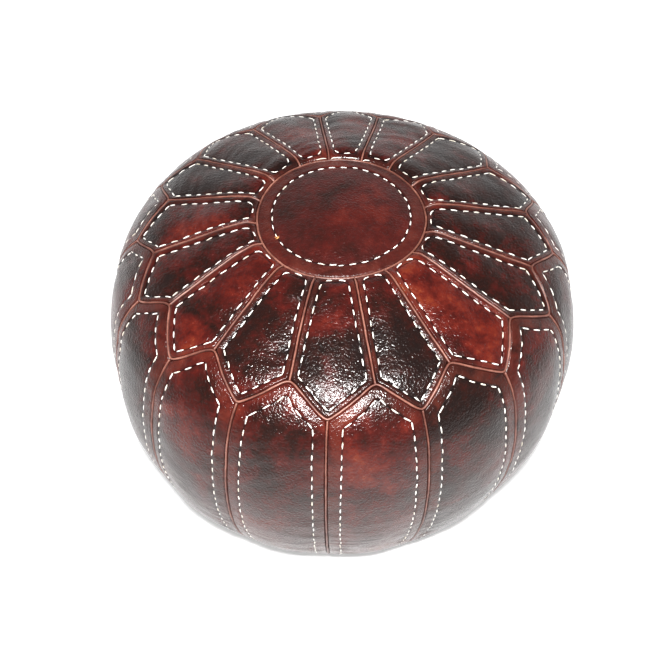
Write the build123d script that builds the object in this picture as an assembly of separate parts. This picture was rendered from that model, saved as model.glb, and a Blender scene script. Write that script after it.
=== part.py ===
"""A round leather floor pouf, sewn from a crown disc, sixteen petals and sixteen side panels.

The petals and the side panels meet in a zigzag at the shoulder. A folded leather welt stands proud in every seam. The
cover is closed underneath by two half-rounds with a zip between them, and holds one body of stuffing.

Millimetres, +Z up. The origin is the centre of the footprint, on the floor. The front petal points along -Y, and the
zip runs along X.
"""

from build123d import *
import os
from math import cos, degrees, radians, sin, tan

# ---------------------------------------------------------------- driving dimensions

PANELS = 16  # petals, and as many side panels
PITCH = 360 / PANELS  # degrees from one seam to the next
FRONT = -90.0  # direction of the first petal, in degrees

# The outline, from the crown down to the floor: the angle of the outward normal where each arc ends, and its radius.
OUTLINE = ((74.0, 676.0), (18.0, 87.0), (-26.0, 300.0), (-60.0, 75.0), (-90.0, 40.0))
FOOT_FLAT = 10.0  # width of the ring that rests on the floor
LIFT_RADIUS, LIFT_NORMAL = 20.0, -115.0  # inside the foot, the cover turns up towards the base
BASE_LIFT = 12.0  # height of the base above the floor, which keeps the zip off it

LEATHER = 1.3
WELT_WIDTH = 2 * LEATHER  # a strip folded in two
WELT_HEIGHT = 1.6  # how far a welt stands out of the leather
SEAM_GAP = 0.05  # between a welt and the panel beside it
CLEAR = 0.3  # between the stuffing and the cover

DISC_NORMAL = 82.67  # normal angle of the seam round the crown disc
PEAK_NORMAL = 67.4  # of the zigzag's upper corners, where two petals meet
TIP_NORMAL = 47.4  # of its lower corners, at the petals' tips

# The zip. The tape lies just above the base's leather, inside the cover.
CHAIN_LENGTH = 240.0  # from stop to stop
TOOTH_PITCH = 3.0
TOOTH_LENGTH, TOOTH_DEPTH, TOOTH_THICKNESS = 1.5, 2.9, 3.0
TEETH_SLOT = 1.4  # between the two rows, where the slider's neck runs
TAPE_WIDTH, TAPE_THICKNESS, TAPE_SPARE = 15.0, 0.7, 9.0
TAPE_CLEAR = 0.2
ZIP_OPENING = 14.0  # width of the slot between the base's two halves
STOP_LENGTH = 4.0
SLIDER_LENGTH, SLIDER_WIDTH, SLIDER_PLATE = 17.0, 10.8, 1.3
SLIDER_CORNER = 2.0
NECK_WIDTH, NECK_LENGTH = 0.9, 3.5
FLANGE_WIDTH, FLANGE_HEIGHT = 1.4, 0.9
BRIDGE_LENGTH, BRIDGE_WIDTH, BRIDGE_BAR = 9.0, 2.2, 1.1
HINGE_DROP = 0.85  # of the pull's pin below the slider
PULL_LENGTH, PULL_WIDTH, PULL_THICKNESS = 24.0, 8.0, 1.1
PULL_EYE = 6.6  # inside length of the eye that goes round the bridge
PULL_ARM = 1.6
PULL_DROOP = 23.0  # degrees below level, which puts its tip on the floor
ZIP_GROOVE_TOP = 18.0  # the stuffing keeps above this over the slider


# ---------------------------------------------------------------- the outline, in the X-Z plane

def outline_arcs():
    """(centre r, centre z, radius, start normal, end normal) of each arc, from the crown down."""
    height = 0.0
    start = 90.0
    for end, radius in OUTLINE:
        height += radius * (sin(radians(start)) - sin(radians(end)))
        start = end
    r, z, start = 0.0, height, 90.0
    arcs = []
    for end, radius in OUTLINE:
        centre_r = r - radius * cos(radians(start))
        centre_z = z - radius * sin(radians(start))
        arcs.append((centre_r, centre_z, radius, start, end))
        r = centre_r + radius * cos(radians(end))
        z = centre_z + radius * sin(radians(end))
        start = end
    return arcs


ARCS = outline_arcs()
HEIGHT = ARCS[0][1] + ARCS[0][2]
FOOT_RADIUS = ARCS[-1][0]
LIFT_CENTRE = FOOT_RADIUS - FOOT_FLAT
LIFT_SLOPE = radians(-90.0 - LIFT_NORMAL)
LIFT_LENGTH = (BASE_LIFT - LIFT_RADIUS * (1 - cos(LIFT_SLOPE))) / sin(LIFT_SLOPE)
BASE_RADIUS = LIFT_CENTRE - LIFT_RADIUS * sin(LIFT_SLOPE) - LIFT_LENGTH * cos(LIFT_SLOPE)


def on_outline(normal, offset=0.0):
    """(r, z) of the point whose outward normal has this angle, moved outwards by offset."""
    for centre_r, centre_z, radius, start, end in ARCS:
        if end <= normal <= start:
            reach = radius + offset
            return centre_r + reach * cos(radians(normal)), centre_z + reach * sin(radians(normal))
    raise ValueError(f"no arc has a normal of {normal}")


def arc_radius(normal):
    """Radius of the arc that holds this normal."""
    return next(radius for _, _, radius, start, end in ARCS if end <= normal <= start)


def degrees_for(length, normal):
    """The turn of the outline's normal along this length of it."""
    return degrees(length / arc_radius(normal))


def curve(offset, start, end, to_base):
    """Edges of the outline moved out by offset, from one normal angle down to another, or on to the base."""
    edges = []
    for centre_r, centre_z, radius, arc_start, arc_end in ARCS:
        first, last = min(start, arc_start), max(end, arc_end)
        if first > last:
            edges.append(CenterArc((centre_r, centre_z), radius + offset, first, last - first))
    if to_base:
        edges.append(Line((FOOT_RADIUS, -offset), (LIFT_CENTRE, -offset)))
        lift = CenterArc((LIFT_CENTRE, LIFT_RADIUS), LIFT_RADIUS + offset, -90.0, LIFT_NORMAL + 90.0)
        inward = Vector(-cos(LIFT_SLOPE), sin(LIFT_SLOPE))
        edges += [lift, Line(lift @ 1, lift @ 1 + inward * (LIFT_LENGTH + WELT_WIDTH))]
    return edges


def band(inner, outer, start=90.0, end=-90.0, to_base=False):
    """The strip between two offsets of the outline, as a face in the X-Z plane."""
    outside = curve(outer, start, end, to_base)
    inside = curve(inner, start, end, to_base)
    first = Line(inside[0] @ 0, outside[0] @ 0)
    last = Line(outside[-1] @ 1, inside[-1] @ 1)
    face = make_face(outside + inside + [first, last])
    if to_base:  # a square end beside the base's welt
        hub = BASE_RADIUS + WELT_WIDTH / 2 + SEAM_GAP
        face -= Pos(hub / 2, 0) * Rectangle(hub, 4 * BASE_LIFT)
    return Plane.XZ * face


def turned(face, angle=360.0):
    """The face turned about Z through this angle, with its middle on the +X axis."""
    return Rot(0, 0, -angle / 2) * revolve(face, Axis.Z, angle)


# ---------------------------------------------------------------- seams, as planes

def at_azimuth(point, azimuth):
    """A point of the outline, (r, z), turned to this azimuth."""
    r, z = point
    return Vector(r * cos(radians(azimuth)), r * sin(radians(azimuth)), z)


def upright_plane(azimuth, shift):
    """The upright plane of a seam at this azimuth, moved by shift towards higher azimuths."""
    normal = Vector(-sin(radians(azimuth)), cos(radians(azimuth)), 0)
    return Plane(origin=normal * shift, z_dir=normal)


def heart_height():
    """Height on the Z axis that the shoulder's normals point to, on average."""
    heights = [z - r * tan(radians(a)) for a in (PEAK_NORMAL, TIP_NORMAL) for r, z in [on_outline(a)]]
    return sum(heights) / len(heights)


def zigzag_plane(peak_azimuth, tip_azimuth, shift):
    """The plane of one zigzag seam, square to the leather, moved by shift downwards, away from the crown."""
    heart = Vector(0, 0, heart_height())
    peak = at_azimuth(on_outline(PEAK_NORMAL), peak_azimuth) - heart
    tip = at_azimuth(on_outline(TIP_NORMAL), tip_azimuth) - heart
    normal = peak.cross(tip).normalized()
    if normal.Z > 0:
        normal = -normal
    return Plane(origin=heart + normal * shift, z_dir=normal)


def below(shape, plane):
    return split(shape, plane, Keep.BOTTOM)


def above(shape, plane):
    return split(shape, plane, Keep.TOP)


HALF_GAP = WELT_WIDTH / 2 + SEAM_GAP
HALF_PITCH = PITCH / 2


def around(shape, first, name):
    """PANELS copies of a shape modelled on the +X axis, as {name_01: shape, ...}, the first at this azimuth."""
    return {f"{name}_{k + 1:02d}": Rot(0, 0, first + k * PITCH) * shape for k in range(PANELS)}


def around_group(shapes, first):
    """PANELS copies of some shapes modelled on the +X axis, as one group of separate solids."""
    turns = [Rot(0, 0, first + k * PITCH) for k in range(PANELS)]
    return Compound([turn * solid for turn in turns for shape in shapes for solid in shape.solids()])


# ---------------------------------------------------------------- leather

def crown_disc():
    edge = degrees_for(HALF_GAP, DISC_NORMAL)
    return revolve(band(-LEATHER, 0, 90.0, DISC_NORMAL + edge), Axis.Z)


def petal():
    """A five-sided crown panel: straight-sided, widening outwards, with a pointed tip."""
    edge = degrees_for(HALF_GAP, DISC_NORMAL)
    blank = turned(band(-LEATHER, 0, DISC_NORMAL - edge, TIP_NORMAL - 5), PITCH + 4)
    blank = below(blank, upright_plane(HALF_PITCH, -HALF_GAP))
    blank = above(blank, upright_plane(-HALF_PITCH, HALF_GAP))
    for side in (1, -1):
        blank = below(blank, zigzag_plane(side * HALF_PITCH, 0, -HALF_GAP))
    return blank


def side_panel():
    """A five-sided side panel: its peak points up between two petals, and its foot wraps under to the base."""
    blank = turned(band(-LEATHER, 0, PEAK_NORMAL + 5, -90.0, to_base=True), PITCH + 4)
    blank = below(blank, upright_plane(HALF_PITCH, -HALF_GAP))
    blank = above(blank, upright_plane(-HALF_PITCH, HALF_GAP))
    for side in (1, -1):
        blank = above(blank, zigzag_plane(0, side * HALF_PITCH, HALF_GAP))
    return blank


def base_half():
    """Half of the round base, on the +Y side, with a notch for the zip."""
    disc = Pos(0, 0, BASE_LIFT) * Cylinder(BASE_RADIUS - HALF_GAP, LEATHER, align=(Align.CENTER, Align.CENTER, Align.MIN))
    half = above(disc, Plane(origin=(0, SEAM_GAP, 0), z_dir=(0, 1, 0)))
    opening = CHAIN_LENGTH + 2 * STOP_LENGTH + 4
    return half - Pos(0, 0, BASE_LIFT) * Box(opening, ZIP_OPENING, 4 * LEATHER)


# ---------------------------------------------------------------- welts

def strip(start, end, to_base=False):
    """A welt on the upright plane through the +X axis, standing out of the leather, and flush where it meets the floor."""
    face = band(-LEATHER, WELT_HEIGHT, start, end, to_base)
    return above(extrude(face, WELT_WIDTH / 2, both=True), Plane.XY)


def disc_welt():
    edge = degrees_for(WELT_WIDTH / 2, DISC_NORMAL)
    return revolve(band(-LEATHER, WELT_HEIGHT, DISC_NORMAL + edge, DISC_NORMAL - edge), Axis.Z)


def petal_welt():
    """Between two petals, from the disc's welt down to the zigzag, with its peak at the +X axis."""
    edge = degrees_for(HALF_GAP, DISC_NORMAL)
    welt = strip(DISC_NORMAL - edge, PEAK_NORMAL - 5)
    for side in (1, -1):
        welt = below(welt, zigzag_plane(0, side * HALF_PITCH, -HALF_GAP))
    return welt


def shoulder_welt():
    """The two zigzag strips that run down from a peak at the +X axis, mitred at the corners."""
    ring = turned(band(-LEATHER, WELT_HEIGHT, PEAK_NORMAL + 5, TIP_NORMAL - 5), PITCH + 4)
    strips = []
    for side in (1, -1):
        welt = above(ring, zigzag_plane(0, side * HALF_PITCH, -WELT_WIDTH / 2))
        welt = below(welt, zigzag_plane(0, side * HALF_PITCH, WELT_WIDTH / 2))
        low, high = sorted((0, side * HALF_PITCH))
        welt = above(welt, upright_plane(low, 0))
        strips.append(below(welt, upright_plane(high, 0)))
    return strips


def side_welt():
    """Between two side panels, from a petal's tip at the +X axis down and under to the base."""
    welt = strip(TIP_NORMAL + 5, -90.0, to_base=True)
    for side in (1, -1):
        welt = above(welt, zigzag_plane(side * HALF_PITCH, 0, HALF_GAP))
    return welt


def base_welt():
    ring = Circle(BASE_RADIUS + WELT_WIDTH / 2) - Circle(BASE_RADIUS - WELT_WIDTH / 2)
    return Pos(0, 0, BASE_LIFT - WELT_HEIGHT) * extrude(ring, WELT_HEIGHT + LEATHER)


# ---------------------------------------------------------------- stuffing

def stuffing():
    """The filling, clear of the cover all round, with a hollow over the zip."""
    skin = curve(-LEATHER - CLEAR, 90.0, -90.0, to_base=True)
    top = Line((0, 0), skin[0] @ 0)
    end = skin[-1] @ 1
    floor = Line(end, (0, end.Y))
    axis = Line((0, end.Y), skin[0] @ 0)
    body = revolve(Plane.XZ * make_face(skin + [floor, axis]), Axis.Z)
    hub = Cylinder(BASE_RADIUS + 2 * WELT_WIDTH, BASE_LIFT + LEATHER + CLEAR, align=(Align.CENTER, Align.CENTER, Align.MIN))
    tape_top = TAPE_BOTTOM + TAPE_THICKNESS + CLEAR
    tapes = Box(CHAIN_LENGTH + 2 * TAPE_SPARE + 4, 2 * TAPE_WIDTH + 8, 2 * tape_top)
    slider_way = Box(CHAIN_LENGTH + 2 * STOP_LENGTH + 4, SLIDER_WIDTH + 2, 2 * ZIP_GROOVE_TOP)
    return body - hub - tapes - slider_way


# ---------------------------------------------------------------- zip, closed, with the slider at its -X end

TAPE_BOTTOM = BASE_LIFT + LEATHER + TAPE_CLEAR
TAPE_MIDDLE = TAPE_BOTTOM + TAPE_THICKNESS / 2
PLATE_GAP = TOOTH_THICKNESS + 2 * TAPE_CLEAR
SLIDER_X = -CHAIN_LENGTH / 2 + SLIDER_LENGTH / 2
SLIDER_UNDERSIDE = TAPE_MIDDLE - PLATE_GAP / 2 - SLIDER_PLATE
HINGE_X = SLIDER_X
HINGE_Z = SLIDER_UNDERSIDE - HINGE_DROP
SLIDER_TRAVEL = CHAIN_LENGTH - SLIDER_LENGTH


def block(x, y, z, length, width, height):
    """A box centred on (x, y, z)."""
    return Pos(x, y, z) * Box(length, width, height)


def zip_tape(side):
    middle = TEETH_SLOT / 2 + TAPE_CLEAR + TAPE_WIDTH / 2
    return block(0, side * middle, TAPE_MIDDLE, CHAIN_LENGTH + 2 * TAPE_SPARE, TAPE_WIDTH, TAPE_THICKNESS)


def zip_teeth(side):
    """One row of teeth, each clamped over the tape's edge. The other row stands half a pitch along."""
    y = side * (TEETH_SLOT + TOOTH_DEPTH) / 2
    tooth = block(0, y, TAPE_MIDDLE, TOOTH_LENGTH, TOOTH_DEPTH, TOOTH_THICKNESS)
    jaw_y = side * (TEETH_SLOT / 2 + TAPE_CLEAR / 2 + TOOTH_DEPTH / 2)
    tooth -= block(0, jaw_y, TAPE_MIDDLE, TOOTH_LENGTH, TOOTH_DEPTH, TAPE_THICKNESS + TAPE_CLEAR)
    count = int((CHAIN_LENGTH - TOOTH_PITCH) // TOOTH_PITCH)
    first = -(count - 1) / 2 * TOOTH_PITCH + side * TOOTH_PITCH / 4
    return Compound([(Pos(first + k * TOOTH_PITCH, 0, 0) * tooth).solid() for k in range(count)])


def zip_stop(x, y, width):
    """A stop crimped over the tape's edge, or over both edges if it is centred."""
    stop = block(x, y, TAPE_MIDDLE, STOP_LENGTH - 1, width, TOOTH_THICKNESS)
    return stop - block(x, 0, TAPE_MIDDLE, STOP_LENGTH, 4 * TAPE_WIDTH, TAPE_THICKNESS + TAPE_CLEAR)


def zip_top_stops():
    x = -CHAIN_LENGTH / 2 - STOP_LENGTH / 2
    y = (TEETH_SLOT + TOOTH_DEPTH) / 2
    return Compound([solid for side in (1, -1) for solid in zip_stop(x, side * y, TOOTH_DEPTH).solids()])


def zip_bottom_stop():
    return zip_stop(CHAIN_LENGTH / 2 + STOP_LENGTH / 2, 0, TEETH_SLOT + 2 * TOOTH_DEPTH)


def slider_plate(z):
    plate = block(SLIDER_X, 0, z, SLIDER_LENGTH, SLIDER_WIDTH, SLIDER_PLATE)
    return fillet(plate.edges().filter_by(Axis.Z), SLIDER_CORNER)


def zip_slider():
    """Two plates joined by a neck at the nose, with flanges that hold the teeth in and a bridge for the pull."""
    plate_shift = (PLATE_GAP + SLIDER_PLATE) / 2
    body = slider_plate(TAPE_MIDDLE + plate_shift) + slider_plate(TAPE_MIDDLE - plate_shift)
    neck_x = SLIDER_X - (SLIDER_LENGTH - NECK_LENGTH) / 2
    body += block(neck_x, 0, TAPE_MIDDLE, NECK_LENGTH, NECK_WIDTH, PLATE_GAP)
    flange_y = (SLIDER_WIDTH - FLANGE_WIDTH) / 2
    flange_shift = (PLATE_GAP - FLANGE_HEIGHT) / 2
    for side in (1, -1):
        for level in (1, -1):
            z = TAPE_MIDDLE + level * flange_shift
            length = SLIDER_LENGTH - 2 * SLIDER_CORNER
            body += block(SLIDER_X, side * flange_y, z, length, FLANGE_WIDTH, FLANGE_HEIGHT)
    drop = 2 * HINGE_DROP + BRIDGE_BAR
    bridge = block(SLIDER_X, 0, SLIDER_UNDERSIDE - drop / 2, BRIDGE_LENGTH, BRIDGE_WIDTH, drop)
    window = 2 * HINGE_DROP
    bridge -= block(SLIDER_X, 0, SLIDER_UNDERSIDE - window / 2, BRIDGE_LENGTH - 2 * BRIDGE_BAR, BRIDGE_WIDTH, window)
    return body + bridge


def zip_pull():
    """A flat tab with an eye round the bridge. Its pin crosses the bridge's window, and its tip rests on the floor."""
    pin = Rot(90, 0, 0) * Cylinder(PULL_THICKNESS / 2, PULL_WIDTH)
    tab = block(PULL_LENGTH / 2, 0, 0, PULL_LENGTH, PULL_WIDTH, PULL_THICKNESS)
    tip_edges = tab.edges().filter_by(Axis.Z).group_by(Axis.X)[-1]
    tab = fillet(tip_edges, PULL_WIDTH / 2 - 0.5)
    tab -= block(PULL_EYE / 2, 0, 0, PULL_EYE, PULL_WIDTH - 2 * PULL_ARM, PULL_THICKNESS)
    tab -= Pos(PULL_LENGTH - PULL_WIDTH / 2, 0, 0) * Cylinder(PULL_WIDTH / 5, PULL_THICKNESS)
    return Pos(HINGE_X, 0, HINGE_Z) * Rot(0, PULL_DROOP, 0) * (tab + pin)


# ---------------------------------------------------------------- the assembly

def assembly():
    parts = {"crown_disc": crown_disc()}
    parts |= around(petal(), FRONT, "petal")
    parts |= around(side_panel(), FRONT + HALF_PITCH, "side_panel")
    back_half = base_half()
    parts["base_back"] = back_half
    parts["base_front"] = Rot(0, 0, 180) * back_half
    parts["disc_welt"] = disc_welt()
    parts["petal_welts"] = around_group([petal_welt()], FRONT + HALF_PITCH)
    parts["shoulder_welt"] = around_group(shoulder_welt(), FRONT + HALF_PITCH)
    parts["side_welts"] = around_group([side_welt()], FRONT)
    parts["base_welt"] = base_welt()
    parts["stuffing"] = stuffing()
    parts["zip_tape_back"] = zip_tape(1)
    parts["zip_tape_front"] = zip_tape(-1)
    parts["zip_teeth_back"] = zip_teeth(1)
    parts["zip_teeth_front"] = zip_teeth(-1)
    parts["zip_top_stops"] = zip_top_stops()
    parts["zip_bottom_stop"] = zip_bottom_stop()
    parts["zip_slider"] = zip_slider()
    parts["zip_pull"] = zip_pull()
    return parts


def main():
    os.makedirs("parts", exist_ok=True)
    for name, shape in assembly().items():
        export_step(shape, f"parts/{name}.step")
    print(f"height {HEIGHT:.1f}, foot radius {FOOT_RADIUS:.1f}, base radius {BASE_RADIUS:.1f}")
    print(f"slider at x {SLIDER_X:.2f}, travel {SLIDER_TRAVEL:.1f}, pull hinge at z {HINGE_Z:.2f}")
    for label, normal in (("disc", DISC_NORMAL), ("peak", PEAK_NORMAL), ("tip", TIP_NORMAL), ("widest", 0.0)):
        print(label, [round(v, 1) for v in on_outline(normal)])


main()
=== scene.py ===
from math import cos, pi, radians, sin

import bpy
import numpy as np
from mathutils import Matrix, Vector


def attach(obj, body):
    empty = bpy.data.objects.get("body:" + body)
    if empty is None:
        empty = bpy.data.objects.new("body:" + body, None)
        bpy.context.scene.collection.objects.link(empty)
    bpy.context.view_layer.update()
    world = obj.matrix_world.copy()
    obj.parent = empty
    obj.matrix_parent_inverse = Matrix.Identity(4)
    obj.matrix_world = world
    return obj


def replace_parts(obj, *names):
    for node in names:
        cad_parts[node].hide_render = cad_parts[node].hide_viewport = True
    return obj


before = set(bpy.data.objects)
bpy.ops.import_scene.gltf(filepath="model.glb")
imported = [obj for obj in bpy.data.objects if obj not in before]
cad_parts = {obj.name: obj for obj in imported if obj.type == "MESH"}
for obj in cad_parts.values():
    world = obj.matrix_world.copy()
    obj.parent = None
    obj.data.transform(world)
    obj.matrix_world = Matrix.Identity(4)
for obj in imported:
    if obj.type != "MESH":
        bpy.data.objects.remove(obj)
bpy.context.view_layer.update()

# The looks of a round leather pouf, in metres. The cover is drawn in seam coordinates (c, t): c counts
# petals round the crown, with petal_01 at 0, and t runs from -1 at the crown's centre over 0 at the disc's
# seam and 1 at the zigzag seam to 2 at the base's seam. A block is 0 for the petals and 1 for the side
# panels. Every panel, welt and row of stitches lies on one surface, so that they fit each other.

MM = 0.001
PANELS = 16
PITCH = 2 * pi / PANELS
FRONT = -pi / 2
rng = np.random.default_rng(7)

# ---------------------------------------------------------------- the outline, as in the CAD

# The outline's arcs from the crown down: the normal's angle at the end, in degrees, and the radius, in mm.
OUTLINE = ((74.0, 676.0), (18.0, 87.0), (-26.0, 300.0), (-60.0, 75.0), (-90.0, 40.0))
# The flat ring of the foot and the rise from it to the base, in mm and degrees.
FOOT_FLAT, LIFT_RADIUS, LIFT_NORMAL, BASE_LIFT = 10.0, 20.0, -115.0, 12.0
LEATHER = 1.3 * MM
# The normal's angle at the disc's seam and at the zigzag's even peaks and tips, in degrees.
DISC_NORMAL, PEAK_NORMAL, TIP_NORMAL = 82.67, 67.4, 47.4
ZIP_OPENING, ZIP_SLOT_LENGTH = 14.0 * MM, 252.0 * MM


def outline_table():
    """Arc length, radius, height and the normal's angle, crown to base, in metres and radians."""
    points = [(0.0, 0.0, 90.0)]
    r, z, start = 0.0, 0.0, 90.0
    for end, radius in OUTLINE:
        for turn in np.linspace(start, end, 60)[1:]:
            a, b = radians(turn), radians(start)
            points.append((r + radius * (cos(a) - cos(b)), z + radius * (sin(a) - sin(b)), turn))
        r, z, start = points[-1][0], points[-1][1], end
    floor = z
    points = [(pr, pz - floor, turn) for pr, pz, turn in points]
    centre = r - FOOT_FLAT
    points += [(r - x, 0.0, -90.0) for x in np.linspace(0, FOOT_FLAT, 8)[1:]]
    for turn in np.linspace(-90.0, LIFT_NORMAL, 20)[1:]:
        a = radians(turn)
        points.append((centre + LIFT_RADIUS * cos(a), LIFT_RADIUS * (1 + sin(a)), turn))
    slope = radians(-90.0 - LIFT_NORMAL)
    length = (BASE_LIFT - points[-1][1]) / sin(slope)
    r, z = points[-1][0], points[-1][1]
    for x in np.linspace(0, length, 12)[1:]:
        points.append((r - x * cos(slope), z + x * sin(slope), LIFT_NORMAL))
    table = np.array(points)
    steps = np.hypot(np.diff(table[:, 0]), np.diff(table[:, 1]))
    s = np.concatenate([[0], np.cumsum(steps)])
    return s * MM, table[:, 0] * MM, table[:, 1] * MM, np.radians(table[:, 2])


S_TABLE, R_TABLE, Z_TABLE, N_TABLE = outline_table()


def length_at(normal):
    """Arc length where the outward normal has this angle."""
    return float(np.interp(-radians(normal), -N_TABLE, S_TABLE))


S_DISC, S_PEAK, S_TIP = length_at(DISC_NORMAL), length_at(PEAK_NORMAL), length_at(TIP_NORMAL)
S_BASE = S_TABLE[-1]


def radius(s):
    """Radius of the outline at an arc length."""
    return np.interp(s, S_TABLE, R_TABLE)


# ---------------------------------------------------------------- hand work: nothing is quite even

# How far each seam between petals strays from its even place, in degrees, at the disc and at the zigzag,
# and how far down its end lies, in mm. Then the same for the petals' tips, where the side seams start.
SEAM_AT_DISC = (0.5, -1.3, 0.7, -1.5, -0.3, -0.4, 0.1, -1.0, -0.6, -1.6, 0.2, -0.6, -0.8, -3.9, -2.3, -2.1)
SEAM_AT_PEAK = (0.9, 0.2, 1.8, 0.5, 0.9, 0.4, 2.3, 0.8, -1.3, 0.3, 0.6, -0.4, 0.5, 0.1, -0.7, 0.3)
PEAK_DOWN = (1.4, 2.2, 2.9, 1.1, 5.0, -2.6, -3.3, -0.4, -5.8, -2.1, 5.8, -1.4, -0.1, -3.2, -4.9, -2.2)
TIP_TURN = (-0.3, 0.2, 1.4, 1.3, -0.4, -1.8, 0.3, -0.5, 0.6, -0.2, 0.4, 0.9, 2.6, 2.6, 1.4, 0.2)
TIP_DOWN = (-0.9, 2.3, 5.2, 4.9, -1.2, 0.5, 1.0, -1.5, 0.8, -0.6, 1.2, -2.0, -6.5, -6.4, -4.2, -3.2)


# Waves round the pouf, as (how many to a turn, cosine part, sine part), from its lumpy stuffing.
WAVES = ((1, 0.004, 0.0), (2, -0.0012, 0.0052), (3, 0.0095, -0.005), (4, -0.0035, -0.0034))
WAVE_TURN, WAVE_FADE = radians(2.4), 0.10
LOWEST = 0.2 * MM


def smooth(x):
    """An S-shaped rise from 0 at 0 to 1 at 1."""
    x = np.clip(x, 0.0, 1.0)
    return x * x * (3 - 2 * x)


def between(c, whole, half):
    """A value given at whole and at half numbers of c, eased in between, for arrays of c."""
    k = np.floor(2 * c).astype(int)
    f = smooth(2 * c - k)
    knots = np.empty(2 * PANELS)
    knots[0::2], knots[1::2] = whole, half
    return knots[k % (2 * PANELS)] * (1 - f) + knots[(k + 1) % (2 * PANELS)] * f


def azimuth(c, t):
    """Direction of a point, in radians."""
    up = np.clip(t, 0, 1)
    at_disc = between(c, np.zeros(PANELS), SEAM_AT_DISC)
    at_zigzag = between(c, TIP_TURN, SEAM_AT_PEAK)
    fade = np.where(t > 1, 1 - 0.8 * smooth(t - 1), 1.0) * np.clip(t + 1, 0, 1)
    return FRONT + c * PITCH + np.radians(at_disc * (1 - up) + at_zigzag * up) * fade


PEAK_ROUND, TIP_ROUND = 0.13, 0.07


def zigzag(c):
    """Arc length of the zigzag seam: peaks at half numbers and tips at whole ones, both rounded."""
    k = np.floor(c).astype(int)
    f = c - k
    nearest = np.where(f < 0.5, k, k + 1) % PANELS
    tip = S_TIP + np.asarray(TIP_DOWN)[nearest] * MM
    peak = S_PEAK + np.asarray(PEAK_DOWN)[k % PANELS] * MM
    y = np.abs(f - 0.5) * 2
    rise = np.sqrt(y**2 + PEAK_ROUND**2) - PEAK_ROUND
    fall = np.sqrt((1 - y) ** 2 + TIP_ROUND**2) - TIP_ROUND
    return peak + (tip - peak) * rise / (rise + fall)


def slant(c):
    """Cosine of the zigzag's slant, which turns a distance square to it into one down the cover."""
    e = 0.004
    rise = (zigzag(c + e) - zigzag(c - e)) / (2 * e)
    return 1 / np.hypot(1, rise / (radius(zigzag(c)) * PITCH))


def arc_length(c, t):
    """Arc length down the outline at seam coordinates."""
    z = zigzag(c)
    crown = S_DISC * (1 + t)
    petals = S_DISC + t * (z - S_DISC)
    sides = z + (t - 1) * (S_BASE - z)
    return np.where(t < 0, crown, np.where(t < 1, petals, sides))


def down_to(c, s, block):
    """The t of an arc length, in the petals' block, 0, or the side panels', 1."""
    z = zigzag(c)
    return (s - S_DISC) / (z - S_DISC) if block == 0 else 1 + (s - z) / (S_BASE - z)


def lumpy(theta, z):
    """The stuffing isn't quite round: a factor on the radius, which fades out at the floor."""
    a = theta - WAVE_TURN
    wave = sum(even * np.cos(n * a) + odd * np.sin(n * a) for n, even, odd in WAVES)
    return 1 + wave * smooth(z / WAVE_FADE)


def place(theta, s, h):
    """Points of the cover raised by h along its normal, and never below the floor."""
    r, z, normal = radius(s), np.interp(s, S_TABLE, Z_TABLE), np.interp(s, S_TABLE, N_TABLE)
    at_foot = (normal < 0) & (normal > -pi / 2 - 0.1)
    h = h * np.where(at_foot, smooth(z / (8 * MM)), 1.0)
    k = lumpy(theta, z)
    r, z = r + h * np.cos(normal), z + h * np.sin(normal)
    return np.stack([r * k * np.cos(theta), r * k * np.sin(theta), np.maximum(z, LOWEST)], -1)


def scatter(i, j, seed):
    """A number from -1 to 1 for each pair of whole numbers, the same every time."""
    n = (i.astype(np.int64) * 374761393 + j.astype(np.int64) * 668265263 + seed * 974711) & 0xFFFFFFFF
    n = ((n ^ (n >> 13)) * 1274126177) & 0xFFFFFFFF
    return ((n ^ (n >> 16)) & 0xFFFF) / 32767.5 - 1


def noise(x, y, seed):
    """Smooth random heights from about -1 to 1, one feature to each unit of x and y."""
    i, j = np.floor(x), np.floor(y)
    f, g = smooth(x - i), smooth(y - j)
    low = scatter(i, j, seed) * (1 - f) + scatter(i + 1, j, seed) * f
    high = scatter(i, j + 1, seed) * (1 - f) + scatter(i + 1, j + 1, seed) * f
    return low * (1 - g) + high * g


# ---------------------------------------------------------------- the stuffing presses out between the seams

COLUMNS = 16  # to a panel, in the simulated cover
PILLOW_LOW, PILLOW_HIGH = -0.8 * MM, 6.5 * MM
LEVELS = np.concatenate([np.linspace(-0.9, 0, 10), np.linspace(0, 1, 25)[1:], np.linspace(1, 2, 77)[1:]])
FRAMES, PRESSURE = 20, 8


def ring_quads(grid):
    """Quads between rows of point numbers that each go all the way round."""
    right = np.roll(grid, -1, axis=1)
    return np.stack([grid[:-1], grid[1:], right[1:], right[:-1]], -1).reshape(-1, 4)


def fan_quads(ring, hub):
    """Quads from a ring of point numbers to the point in its middle."""
    even = np.arange(0, len(ring), 2)
    corners = [np.full(len(even), hub), ring[even], ring[even + 1], ring[(even + 2) % len(ring)]]
    return np.stack(corners, -1)


def cloth_settings(settings):
    """Thin leather under pressure, without gravity."""
    settings.quality = 6
    settings.mass = 0.4
    settings.tension_stiffness = 30
    settings.compression_stiffness = 15
    settings.shear_stiffness = 12
    settings.bending_stiffness = 3
    settings.air_damping = 4
    settings.vertex_group_mass = "held"
    settings.pin_stiffness = 1
    settings.shrink_min = -0.02
    settings.use_pressure = True
    settings.uniform_pressure_force = PRESSURE
    settings.effector_weights.gravity = 0


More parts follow.
